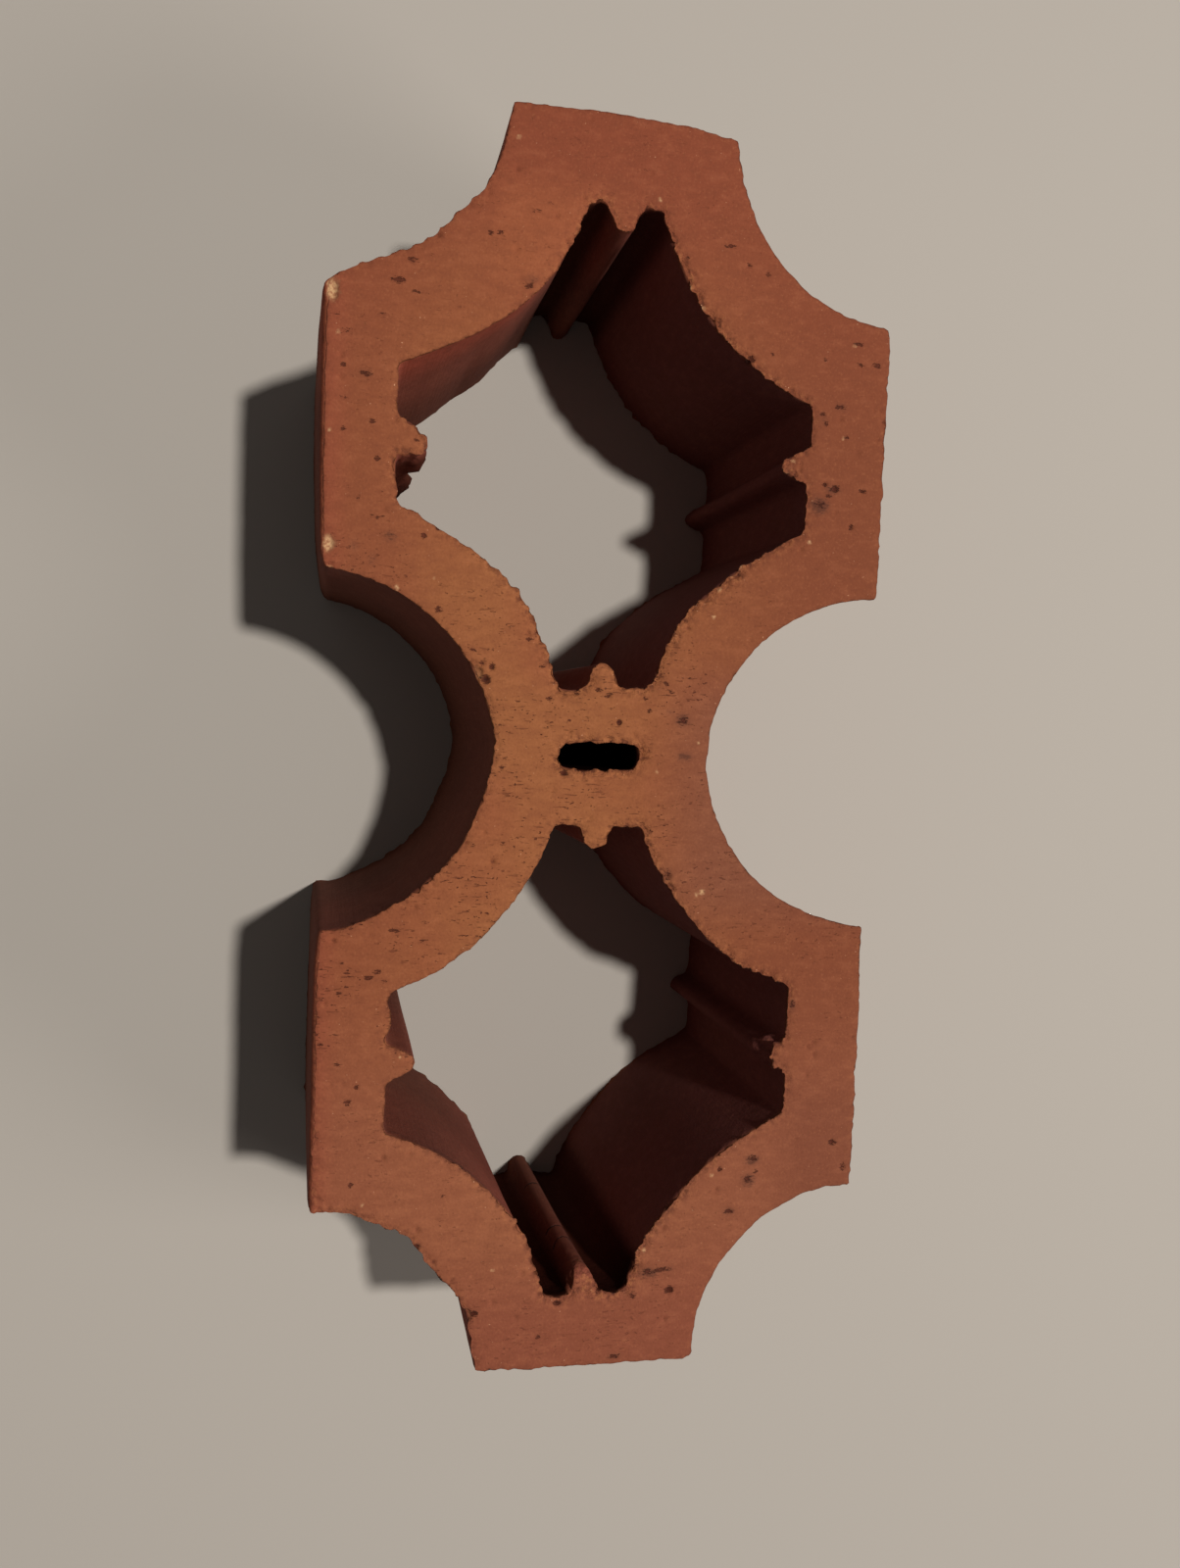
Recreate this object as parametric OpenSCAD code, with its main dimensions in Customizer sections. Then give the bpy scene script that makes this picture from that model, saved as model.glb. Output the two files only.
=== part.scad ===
// Terracotta breeze block: one extruded and fired piece of clay with two open cells.
// The cells run along Z. The block rests on one wire-cut face, centred on the origin.

/* [Block] */
// Length of the block, over both cells
block_length = 244; // [225:1:290]
// Width of the block, across one cell
block_width = 110; // [100:1:130]
// Depth of the block, from one wire-cut face to the other
block_depth = 70; // [40:1:120]

/* [Notches] */
// Radius of the quarter-round notch at each corner
corner_notch_r = 33.2; // [26:0.2:38]
// Radius of the half-round notch in the middle of each long side
side_notch_r = 33.4; // [26:0.2:38]

/* [Walls] */
// Clay between an end face and its cell
end_wall = 15.2; // [10:0.2:20]
// Clay between a side face and its cell
side_wall = 14.4; // [10:0.2:20]
// Clay between a notch and its cell
notch_wall = 14.8; // [12:0.2:20]
// Clay between the two cells
web_wall = 26; // [18:0.5:34]
// How much nearer the block's middle a cell's outer arcs are centred than the corner notches
core_shift = 3.8; // [0:0.2:6]

/* [Ribs] */
// Width of a rib at its root
rib_root_width = 6.2; // [5:0.1:8]
// Width of a rib at its rounded tip
rib_tip_width = 3.6; // [2:0.1:4.6]
// Height of a rib above its wall
rib_height = 5.2; // [3:0.1:7]

/* [Core slot] */
// Length of the slot through the web
slot_length = 16; // [8:0.5:22]
// Width of the slot through the web
slot_width = 5.4; // [3:0.1:9]

/* [Rounds] */
// Radius on the block's outer corners
outer_round = 1.2; // [0.4:0.1:2.5]
// Radius in the corners of a cell
cell_round = 2.2; // [0.6:0.1:3]
// Radius in the corners at a rib's root
rib_root_round = 1; // [0.4:0.1:1.6]
// Radius in the corners of the slot
slot_round = 1.4; // [0.4:0.1:1.4]

/* [Hidden] */
$fn = 128;
clay = [0.61, 0.31, 0.20];

// How far a shape that only fills or cuts a corner reaches past that corner
overlap = 0.5;
// How far a round's circle reaches past the faces that it blends, so that it truly crosses them
bite = 0.005;

half_length = block_length / 2;
half_width = block_width / 2;
cell_end = half_length - end_wall;
cell_side = half_width - side_wall;
cell_web = web_wall / 2;
corner_cell_r = corner_notch_r + notch_wall;
side_cell_r = side_notch_r + notch_wall;
outer_arc_y = half_length - core_shift;

// How far along a face its corner with a notch lies from the notch's centre line
function face_start(notch_r, inset) = sqrt(notch_r ^ 2 - inset ^ 2);

// Middle of a cell's side wall, where its rib stands
side_rib_y = (face_start(side_cell_r, side_wall)
    + outer_arc_y - face_start(corner_cell_r, side_wall)) / 2;

// Repeats a shape that lies in the quarter with positive X and Y in all four quarters
module quarters() {
    for (mirror_x = [0, 1], mirror_y = [0, 1])
        mirror([mirror_x, 0]) mirror([0, mirror_y]) children();
}

// What a round of radius round_r leaves over in the corner of a notch and a straight face.
// The notch is centred on the origin, the face is the line x = -inset, and the corner
// lies below the notch's centre.
module corner_piece(notch_r, round_r, inset) {
    seat = round_r - bite;
    corner = [-inset, -face_start(notch_r, inset)];
    centre = [-inset - seat, -sqrt((notch_r + seat) ^ 2 - (inset + seat) ^ 2)];
    past_face = [overlap - inset, centre.y];
    past_notch = centre * (notch_r - overlap) / norm(centre);
    difference() {
        polygon([corner + [overlap, overlap], past_face, centre, past_notch]);
        translate(centre) circle(round_r);
    }
}

// The block's outline: a rectangle with round notches, whose corners are eased
module outline() {
    difference() {
        square([block_width, block_length], center = true);
        quarters() {
            translate([half_width, half_length]) {
                circle(corner_notch_r);
                corner_piece(corner_notch_r, outer_round, 0);
                mirror([1, -1]) corner_piece(corner_notch_r, outer_round, 0);
            }
            translate([half_width, 0]) mirror([0, 1])
                corner_piece(side_notch_r, outer_round, 0);
        }
        for (side = [-1, 1])
            translate([side * half_width, 0]) circle(side_notch_r);
    }
}

// A rib's section, standing on the X axis with its round tip up and its root eased
module rib() {
    tip_r = rib_tip_width / 2;
    tip = [0, rib_height - tip_r];
    root = [rib_root_width / 2, 0];
    flank_r = tip_r - bite;
    // How far a flank leans in from the upright
    lean = atan2(root.x, tip.y) - asin(flank_r / norm(tip - root));
    out = [cos(lean), sin(lean)];
    shoulder = tip + flank_r * out;
    seat = rib_root_round - bite;
    ease = [root.x + seat * (1 - out.y) / out.x, seat];
    translate(tip) circle(tip_r);
    polygon([
        [-root.x, -overlap], [root.x, -overlap], root,
        shoulder, tip, [-shoulder.x, shoulder.y], [-root.x, 0]
    ]);
    for (side = [0, 1]) mirror([side, 0]) difference() {
        polygon([root - [overlap, overlap], [ease.x, -overlap], ease, ease - (seat + overlap) * out]);
        translate(ease) circle(rib_root_round);
    }
}

// The four ribs of the upper cell, one in the middle of each straight wall
module ribs() {
    translate([0, cell_web]) rib();
    translate([0, cell_end]) mirror([0, 1]) rib();
    for (side = [-1, 1])
        translate([side * cell_side, side_rib_y]) rotate(side * 90) rib();
}

// The open space of the upper cell, whose arcs follow the notches and leave the most clay at the corners
module cell() {
    difference() {
        translate([-cell_side, cell_web])
            square([2 * cell_side, cell_end - cell_web]);
        for (side = [0, 1]) mirror([side, 0]) {
            translate([half_width, outer_arc_y]) {
                circle(corner_cell_r);
                corner_piece(corner_cell_r, cell_round, side_wall);
                mirror([1, -1]) corner_piece(corner_cell_r, cell_round, end_wall - core_shift);
            }
            translate([half_width, 0]) {
                circle(side_cell_r);
                mirror([0, 1]) corner_piece(side_cell_r, cell_round, side_wall);
                rotate(-90) corner_piece(side_cell_r, cell_round, cell_web);
            }
        }
        ribs();
    }
}

// The slot that a core leaves through the web
module slot() {
    square([slot_length - 2 * slot_round, slot_width], center = true);
    square([slot_length, slot_width - 2 * slot_round], center = true);
    quarters()
        translate([slot_length / 2 - slot_round, slot_width / 2 - slot_round]) circle(slot_round);
}

module breeze_block() {
    color(clay)
    linear_extrude(height = block_depth)
    difference() {
        outline();
        for (end = [0, 1]) mirror([0, end]) cell();
        slot();
    }
}

breeze_block();
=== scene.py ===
"""A terracotta breeze block, wire-cut and fired: warped walls, ragged rims, torn ribs, streaks and pits.

The section is rebuilt from the solid's own sizes, in millimetres, and then weathered as one closed mesh.
"""

import functools
import itertools
import math

import bpy
import numpy as np
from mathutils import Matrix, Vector
from mathutils.geometry import delaunay_2d_cdt
from mathutils.kdtree import KDTree


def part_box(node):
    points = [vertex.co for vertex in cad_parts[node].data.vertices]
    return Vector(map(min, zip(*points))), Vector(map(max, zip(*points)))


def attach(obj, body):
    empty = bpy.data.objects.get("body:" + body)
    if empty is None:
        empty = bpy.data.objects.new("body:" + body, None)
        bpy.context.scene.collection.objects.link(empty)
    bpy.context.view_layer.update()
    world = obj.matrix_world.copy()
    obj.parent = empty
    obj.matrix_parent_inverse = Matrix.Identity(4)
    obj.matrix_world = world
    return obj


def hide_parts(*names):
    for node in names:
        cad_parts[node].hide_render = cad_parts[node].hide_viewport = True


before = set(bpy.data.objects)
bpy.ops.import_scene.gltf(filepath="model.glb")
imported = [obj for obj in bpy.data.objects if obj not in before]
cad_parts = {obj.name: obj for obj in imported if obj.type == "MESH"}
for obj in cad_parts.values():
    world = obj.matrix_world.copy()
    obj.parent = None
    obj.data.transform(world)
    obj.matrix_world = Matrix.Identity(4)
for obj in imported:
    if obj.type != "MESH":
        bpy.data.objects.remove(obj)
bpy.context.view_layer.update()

MM = 0.001
BLOCK = "breeze_block"
HALF_WIDTH, HALF_LENGTH, DEPTH = (round(size / MM, 3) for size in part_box(BLOCK)[1])

# The section's own sizes, as in the solid
CORNER_NOTCH_R = 33.2
SIDE_NOTCH_R = 33.4
END_WALL = 15.2
SIDE_WALL = 14.4
NOTCH_WALL = 14.8
CORE_SHIFT = 3.8
HALF_WEB = 13.0
RIB_ROOT = 6.2
RIB_TIP = 3.6
RIB_HEIGHT = 5.2
SLOT = (16.0, 5.4)
CORNER_CELL_R = CORNER_NOTCH_R + NOTCH_WALL
SIDE_CELL_R = SIDE_NOTCH_R + NOTCH_WALL
CELL_SIDE = HALF_WIDTH - SIDE_WALL
CELL_END = HALF_LENGTH - END_WALL

# The spread of the bell curves that ease the outline, the cells and the nudges
OUTER_EASE = 0.5
CELL_EASE = 0.9
NUDGE_EASE = 1.5

# How finely the mesh follows the section
DRAWN_STEP = 0.1
COLUMN_STEP = 0.52
RIM_STEP = 0.42
RIM_REACH = 2.0
SPOT_REACH = 1.3
FACE_STEP = 0.95
BASE_STEP = 3.0
TOP_CLEARANCE = 0.22
BASE_CLEARANCE = 1.2
FINE_DEPTHS = (0, 0.25, 0.6, 1.1, 1.8, 2.8, 3.9, 5.0, 6.2, 7.6, 9.6, 12)
COARSE_DEPTHS = (
    13.2, 14.6, 16.8, 19, 21.2, 23.5, 25.8, 28, 30.3, 32.6, 35, 37.5, 40, 42.5, 45, 47.5, 50, 53, 56.5, 61,
    65, 68.2, 69.2, 69.7, DEPTH,
)

# How far this block stands off the nominal section: a place on the loop, and the way it is moved
OUTER_NUDGES = (
    (-20.9, 122, 0, -0.4), (-6, 122, 0, 0.3), (12.5, 122, 0, -0.2), (18.8, 122, 0, -1.2),
    (21.8, 122, 0.5, -1.7), (22.3, 117, 0.7, 0), (26, 106, 0.5, 0.3), (30, 100, 0.1, 0), (39, 93, -0.2, -0.4),
    (50.4, 89.1, -0.1, -1.1), (55, 88.8, 0.6, -1.5), (55, 80, 0.8, 0), (55, 50, 0.6, 0),
    (55, 33.4, 0.3, -0.1), (39.7, 29.7, 0.2, -0.4), (30, 22, 0, 0), (21.6, -2, -0.9, 0),
    (27.3, -18.7, -0.2, -0.1), (36, -27.6, 0, 0), (43, -31, 0.2, 0.5), (55, -33.4, 0.3, -0.4),
    (55, -50, 0.6, 0), (55, -82.7, 0.5, 0), (55, -88.8, 0.3, 0.8), (48.3, -89.5, -0.2, 0.8),
    (32, -98, -0.1, 0.1), (22, -118, 0.3, 0), (21.8, -122, 0.3, -0.6), (4, -122, 0, -0.4),
    (-14, -122, 0, -0.2), (-21.8, -122, -0.4, 0), (-22.3, -116.3, -1.1, -0.2), (-23.9, -110.3, 0, 0),
    (-30.4, -99.7, -1, -0.9), (-35.1, -95.4, 0.1, 0.2), (-55, -88.8, 0.9, 0.2), (-55, -62, 0.9, 0),
    (-55, -41, 1, 0), (-55, -33.4, 1.3, -1), (-49.6, -33, 0.2, -1), (-43.6, -31.4, 0, 0),
    (-32.8, -25, -0.6, 0.7), (-28.6, -20.4, -0.5, 0.4), (-24, -12.5, -1.1, 0.4), (-21.8, 3, 0, 0),
    (-22.9, 9.3, -0.5, -0.2), (-32.8, 25, -0.6, -0.7), (-43.6, 31.4, -0.2, -0.5), (-55, 33.4, 0.5, 0.2),
    (-55, 50, 0, 0), (-55, 80, 0, 0), (-55, 88.8, 0.1, -3.9), (-52.5, 88.9, 0, -1.4), (-49.5, 89.2, 0, -0.2),
    (-46.3, 90, 0, 0.5), (-35, 95.4, -0.4, 0.9), (-30.4, 99.7, -1.1, 1.1), (-26.7, 104.7, -0.3, 0.2),
    (-22.3, 116.3, -0.6, 0.1),
)
UPPER_NUDGES = (
    (-8.6, 13, -1.4, -0.3), (-6, 13, -0.8, -0.6), (-3.1, 13, -1.3, -0.2), (0, 18.2, -1.2, 0),
    (3.1, 13, -0.2, 0), (8.6, 13, 0.2, 0.2), (14.6, 26.3, -0.5, 0.3), (22.6, 35.7, 0.2, -0.4),
    (32.6, 42.7, 0.4, -0.8), (40.6, 46, -1.2, -0.3), (40.6, 51, -1.1, 0), (40.6, 56.1, -1, -0.4),
    (35.4, 59.2, -1.1, -0.8), (40.6, 62.3, -0.5, 0.3), (40.6, 68, -0.4, 0), (40.6, 72.4, -0.8, -1.4),
    (32, 76, -0.6, -1.1), (18, 87.7, -1, -0.8), (9.2, 103.8, -0.9, -0.4), (8.4, 106.8, -0.8, -2),
    (5.6, 106.8, 0, -1.3), (3.1, 106.8, 0.9, -1.4), (0, 101.6, 0.4, -1.5), (-3.1, 106.8, -0.6, -1),
    (-5.6, 106.8, 0, -1.2), (-8.4, 106.8, 1.5, -2.3), (-9.6, 102, 1.6, -0.6), (-11, 99, 1.7, -0.4),
    (-14.4, 92.7, 1.6, -1), (-20.4, 84.9, 0.8, -0.9), (-24.4, 81.3, 0.4, -0.4), (-35, 74.6, -0.2, 0.3),
    (-40.6, 72.4, -1.4, -0.7), (-40.6, 66, -1.5, 0), (-40.6, 62.3, -1.4, -0.4), (-35.4, 59.2, -1.5, -1.7),
    (-40.6, 56.1, -1.4, -1.6), (-40.6, 50, -1.5, 0), (-40.6, 46, -1, -0.3), (-30, 41.3, -0.7, -1.1),
    (-20.5, 33.6, -0.3, -0.2), (-16.5, 29, -0.2, -0.2), (-11.6, 21, -1.1, -0.4),
)
LOWER_NUDGES = (
    (8.6, -13, -0.4, -1.3), (5, -13, 0, -0.8), (3.1, -13, -0.9, -0.6), (0, -18.2, -1.3, -0.2),
    (-3.1, -13, -1.9, -0.7), (-6, -13, -1, -0.7), (-8.6, -13, -1.4, -0.5), (-11.6, -21, -1, 0.4),
    (-18.3, -31.3, -0.5, 0.4), (-27.4, -39.5, 0, 0), (-40.6, -46, 0, -0.2), (-40.6, -49, -0.9, 0),
    (-40.6, -51.6, 1.3, 0), (-40.6, -54.2, -1, 0), (-40.6, -56.1, -0.3, -0.3), (-35.4, -59.2, 0.4, -1),
    (-40.6, -62.3, -0.3, -1.5), (-40.6, -72.4, -0.3, -1.3), (-32, -76, -0.5, -1), (-18, -87.7, -0.4, -0.4),
    (-14.4, -92.7, 0, 0), (-8.4, -106.8, -0.8, -0.6), (-5.6, -106.8, 0, -1.8), (-3.1, -106.8, -0.6, -0.6),
    (0, -101.6, -0.6, -0.6), (3.1, -106.8, -0.6, -0.8), (5, -106.8, 0, -1.3), (8.4, -106.8, -0.8, -1),
    (10.2, -101, -0.4, 0.2), (16, -90.2, 0.7, -0.5), (34.7, -74.7, 0.3, -0.6), (40.6, -72.4, -0.6, 0),
    (40.6, -67, -0.4, 0), (40.6, -62.3, -0.5, -1.6), (35.4, -59.2, -0.3, -1.4), (40.6, -56.1, -0.5, -0.9),
    (40.6, -51, -0.7, 0), (35.5, -44.1, 0, 0), (30, -41.3, -0.4, -0.6), (16.5, -29, -0.2, -0.2),
    (10.4, -18.3, -0.8, -0.3),
)
SLOT_NUDGES = (
    (0, 2.7, -1.4, 0.1), (8, 2.7, -1.6, -0.4), (8, 0, -1, -0.1), (8, -2.7, -1.8, 0.2), (0, -2.7, -1.4, -0.5),
    (-8, -2.7, -0.8, 0.2), (-8, 0, -1.9, -0.2), (-8, 2.7, -0.8, -0.7),
)

# How ragged the cut left the rims: a place on the loop, and the size of its teeth
RAGGED = {
    "outer": (
        (-21.8, 122, 0.2), (0, 122, 0.15), (15, 122, 0.25), (21.8, 122, 0.35), (30, 100, 0.15),
        (55, 88.8, 0.3), (55, 66, 0.4), (55, 50, 0.25), (55, 33.4, 0.2), (39.7, 29.7, 0.15), (21.6, 0, 0.25),
        (36, -27.6, 0.15), (55, -33.4, 0.25), (55, -50, 0.25), (55, -65, 0.4), (55, -88.8, 0.25),
        (32, -98, 0.2), (22, -118, 0.25), (21.8, -122, 0.3), (0, -122, 0.25), (-21.8, -122, 0.35),
        (-23.9, -110.3, 0.6), (-30.4, -99.7, 0.55), (-46, -90, 0.85), (-55, -88.8, 0.7), (-55, -62, 0.3),
        (-55, -33.4, 0.35), (-43.6, -31.4, 0.4), (-35, -27, 0.8), (-28.6, -20.4, 0.55), (-21.6, 0, 0.5),
        (-25.5, 16, 0.6), (-32.8, 25, 0.3), (-43.6, 31.4, 0.2), (-55, 33.4, 0.35), (-55, 50, 0.2),
        (-55, 80, 0.2), (-55, 88.8, 0.35), (-46.3, 90, 0.35), (-30.4, 99.7, 0.4), (-22.3, 116.3, 0.3),
    ),
    "upper": (
        (-8.6, 13, 0.9), (0, 18.2, 0.6), (8.6, 13, 0.8), (14.6, 26.3, 0.9), (22.6, 35.7, 1.1),
        (32.6, 42.7, 0.6), (40.6, 48, 0.4), (40.6, 56, 0.5), (35.4, 59.2, 0.9), (40.6, 62.3, 0.4),
        (40.6, 70, 0.35), (32, 76, 0.6), (26, 80, 0.8), (18, 87.7, 0.9), (12.5, 95, 0.8), (8.4, 106.8, 0.5),
        (0, 101.6, 0.5), (-8.4, 106.8, 0.55), (-11, 99, 0.65), (-14.4, 92.7, 0.4), (-24.4, 81.3, 0.2),
        (-40.6, 72.4, 0.2), (-40.6, 62.3, 0.35), (-35.4, 59.2, 0.5), (-40.6, 56.1, 0.6), (-40.6, 46, 0.4),
        (-30, 41.3, 0.4), (-20.5, 33.6, 0.6), (-16.5, 29, 0.85), (-11.6, 21, 0.7),
    ),
    "lower": (
        (8.6, -13, 0.8), (0, -18.2, 0.6), (-8.6, -13, 0.6), (-11.6, -21, 0.35), (-18.3, -31.3, 0.3),
        (-24, -37, 0.5), (-30, -41, 0.3), (-40.6, -46, 0.3), (-40.6, -52, 0.5), (-35.4, -59.2, 0.4),
        (-40.6, -66, 0.25), (-40.6, -72.4, 0.3), (-25, -81, 0.5), (-14.4, -92.7, 0.6), (-8.4, -106.8, 0.7),
        (0, -106.8, 0.9), (8.4, -106.8, 0.9), (12, -96, 0.8), (16, -90.2, 0.65), (25, -81, 0.4),
        (40.6, -72.4, 0.35), (40.6, -62.3, 0.4), (35.4, -59.2, 0.6), (40.6, -51, 0.35), (35.5, -44.1, 0.7),
        (27, -39.5, 0.7), (18, -31, 0.5), (10.4, -18.3, 0.75),
    ),
    "slot": ((0, 2.7, 0.8), (8, 0, 0.8), (0, -2.7, 0.8), (-8, 0, 1)),
}
RAGGED_MOST = 1.1

# How far the walls lean at the lower face: a place on the loop, and the way it is moved there
LEAN = {
    "outer": (
        (22.3, 117, 0, 0), (45, 90, 0, 0), (55, 80, 0, 0), (55, 40, 0, 0.6), (55, 33.4, 0, 2),
        (47, 32.4, 0, 2), (39.7, 29.7, 0, 0.8), (30, 22, 0, 0), (30, -22, 0, 0), (36, -27.6, 0, -1.5),
        (45, -31.9, 0, -3), (55, -33.4, 0, -3), (55, -45, 0, 0), (0, -122, 0, 0), (-30, -99, 0, 0),
        (-48, -89.5, -1.2, 0), (-55, -88.8, -1.5, 0), (-55, -80, -1.7, 0), (-55, -33.4, -1.6, 0),
        (-44, -31.4, -1.2, 0), (-33, -25, -1, -0.4), (-21.8, 0, -1.4, 0), (-33, 25, -0.8, -0.4),
        (-49, 33, -0.3, 0), (-55, 33.4, 0, 0), (-55, 36, -0.5, 0), (-55, 45, -1.5, 0), (-55, 66, -2.2, 0),
        (-55, 84, -2.2, 0), (-55, 88.8, -1.7, 0), (-48, 89.7, -0.6, 0), (-44, 91, 0, 0),
    ),
    "upper": (
        (-11, 99, 0, 0), (-14.4, 92.7, -2, 1.6), (-24.4, 81.3, -1.5, 2.8), (-29, 78, -1, 1.9),
        (-34, 75, -0.5, 0.7), (-40.6, 72.4, 0, 0.5), (-40.6, 66, 0, 0),
    ),
    "lower": (
        (-40.6, -62, 0, 0), (-40.6, -72.4, -0.8, -1.2), (-34.7, -74.7, -1, -1.8), (-25, -81, -1.3, -2.3),
        (-14.4, -92.7, -1.8, -1.8), (-8.4, -106.8, -2.3, -1.2), (0, -101.6, -2.7, -1.8),
        (8.4, -106.8, -1.8, -0.8), (16, -90, -0.5, 0), (34, -75, 0, 0),
    ),
    "slot": ((0, 0, 0, 0),),
}
# The share of that lean at each depth under the upper face
LEAN_BY_DEPTH = ((0, 0), (5, 0.22), (20, 0.48), (35, 0.65), (DEPTH, 1))

# The share of a damaged rib's height that is left at each depth under the upper face
RIB_LEFT = {
    "upper left": (
        (0, 1.17), (2.2, 1.18), (3.2, 0.65), (6.4, 0.6), (7.8, 1.25), (12, 1.34), (16.5, 1.34), (18.5, 1.05),
        (20, 0.72), (25, 0.8), (34, 0.92), (44, 1.05), (50, 0.8), (56, 0.55), (DEPTH, 0.4),
    ),
    "lower right": ((0, 0.75), (1.2, 0.7), (2.5, 0.45), (4.5, 0.7), (7, 1), (DEPTH, 1)),
    "lower end": ((0, 0.2), (0.4, 0.35), (0.9, 0.6), (1.6, 0.85), (3, 1), (DEPTH, 1)),
}
# How much that depth wanders along a break, at most, and for each millimetre under the face
BREAK_MOST = 1.8
BREAK_SLOPE = 0.2

# Where the tops of ribs are crumbly
CRUMBLY_RIBS = ((-35.4, 59.2), (0, -103.5), (35.4, -60.5))

# How high the cracks across the lower end's rib run, and how far they wander
CRACKS = (53, 46, 20)
CRACK_WANDER = 3.0

# How uneven the walls, how toothed the rims and how torn the broken ribs are
WALL_UNEVEN = 0.2
RIM_TEETH = 1.5
RIB_TEAR = 1.25

# How far the upper and the lower rim's teeth reach along the walls, and the lower ones' share
TOP_REACH = 1.3
BASE_REACH = 1.0
BASE_SHARE = 0.8

# The worn rim of the left side: its width and depth, and how far from the middle it sets in
LEFT_WORN = 0.7
LEFT_WORN_DEPTH = 0.9
LEFT_WORN_ENDS = (33, 37)

# Random pits over the upper face, and the share of a ragged rim's stations that have one
PIT_COUNT = 230
RIM_PIT_SHARE = 0.22

# Each kind of noise: the size of its features, its seed and its octaves
NOISE = {
    "break": (2.0, 5, 2),
    "walls": ((24, 24, 50), 11, 2),
    "bites": (2.4, 23, 2),
    "crumbs": (1.0, 27, 1),
    "waves": (4.5, 29, 2),
    "tears": ((1.6, 1.6, 2.6), 31, 2),
    "wear": (1.7, 41, 2),
    "drag": ((7, 0.9, 1), 43, 2),
    "face": (13, 45, 2),
    "chips": (1.5, 51, 2),
}
SEED = 47
OCTAVE_SEED = 17

# Large odd numbers that scramble a cell's place and a seed
PLACE_FACTORS = np.array((73856093, 19349663, 83492791))
SEED_FACTOR = 2654435
SCRAMBLE_FACTOR = 1274126177


def lattice(points, seed):
    """Smooth noise from -1 to 1, whose cells are one unit wide."""
    base = np.floor(points).astype(np.int64)
    part = points - base
    part = part * part * (3 - 2 * part)
    total = np.zeros(len(points))
    for corner in itertools.product((0, 1), repeat=3):
        x, y, z = ((base + corner) * PLACE_FACTORS).T
        mixed = x ^ y ^ z ^ (SEED + seed) * SEED_FACTOR
        mixed = (mixed ^ (mixed >> 13)) * SCRAMBLE_FACTOR & 0x7FFFFFFF
        mixed = (mixed ^ (mixed >> 16)) & 0xFFFF
        weight = np.prod(np.where(corner, part, 1 - part), axis=1)
        total += weight * (mixed / 32767.5 - 1)
    return total


def rough(points, kind):
    """Fractal noise of about -1 to 1, of one of the kinds in NOISE."""
    size, seed, octaves = NOISE[kind]
    total, strength = 0, 1.0
    for octave in range(octaves):
        scaled = points / np.asarray(size, float) * 2**octave
        total = total + strength * lattice(scaled, seed + OCTAVE_SEED * octave)
        strength *= 0.5
    return total / (2 - 2 * strength)


def smooth_step(value, low, high):
    """0 below low, 1 above high, and a smooth rise between them."""
    part = np.clip((value - low) / (high - low), 0, 1)
    return part * part * (3 - 2 * part)


def arc(centre, radius, start, end):
    """Points on an arc from one angle to another, in degrees."""
    count = max(3, int(radius * math.radians(abs(end - start)) / DRAWN_STEP))
    turn = np.radians(np.linspace(start, end, count))
    return np.column_stack([centre[0] + radius * np.cos(turn), centre[1] + radius * np.sin(turn)])


def straight(start, end):
    """Points on a line."""
    count = max(2, int(math.dist(start, end) / DRAWN_STEP))
    return np.linspace(start, end, count)


# The ribs in the order of their numbers, and the way each points. The last way is for NO_RIB.
RIB_NAMES = ("upper web", "upper right", "upper end", "upper left",
             "lower web", "lower left", "lower end", "lower right")
NO_RIB = -1
RIB_OUT = np.array([(0, 1), (-1, 0), (0, -1), (1, 0), (0, -1), (1, 0), (0, 1), (-1, 0), (0, 0)], float)


def plain(points):
    """A stretch of loop that isn't on a rib, as columns x, y, rise and rib's number."""
    return np.column_stack([points, np.zeros(len(points)), np.full(len(points), NO_RIB)])


def flat_with_rib(start, end, foot, out, number):
    """A straight wall with a tapered, round-nosed rib, which stands on foot and points out of the clay."""
    tip_r = RIB_TIP / 2
    lean = math.degrees(math.atan2(RIB_ROOT / 2 - tip_r, RIB_HEIGHT - tip_r))
    nose = arc((0, RIB_HEIGHT - tip_r), tip_r, 180 - lean, lean)
    profile = np.vstack([straight((-RIB_ROOT / 2, 0), nose[0]), nose, straight(nose[-1], (RIB_ROOT / 2, 0))])
    along = np.subtract(end, start) / math.dist(start, end)
    points = np.asarray(foot) + profile[:, :1] * along + profile[:, 1:] * np.asarray(out)
    rib = np.column_stack([points, profile[:, 1], np.full(len(points), number)])
    return np.vstack([plain(straight(start, points[0])), rib, plain(straight(points[-1], end))])


def outer_loop():
    """The block's outline, clockwise from above."""
    quarter = np.vstack([
        straight((0, HALF_LENGTH), (HALF_WIDTH - CORNER_NOTCH_R, HALF_LENGTH)),
        arc((HALF_WIDTH, HALF_LENGTH), CORNER_NOTCH_R, 180, 270),
        straight((HALF_WIDTH, HALF_LENGTH - CORNER_NOTCH_R), (HALF_WIDTH, SIDE_NOTCH_R)),
        arc((HALF_WIDTH, 0), SIDE_NOTCH_R, 90, 180),
    ])
    half = np.vstack([quarter, (quarter * (1, -1))[::-1]])
    return plain(np.vstack([half, -half]))


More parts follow.
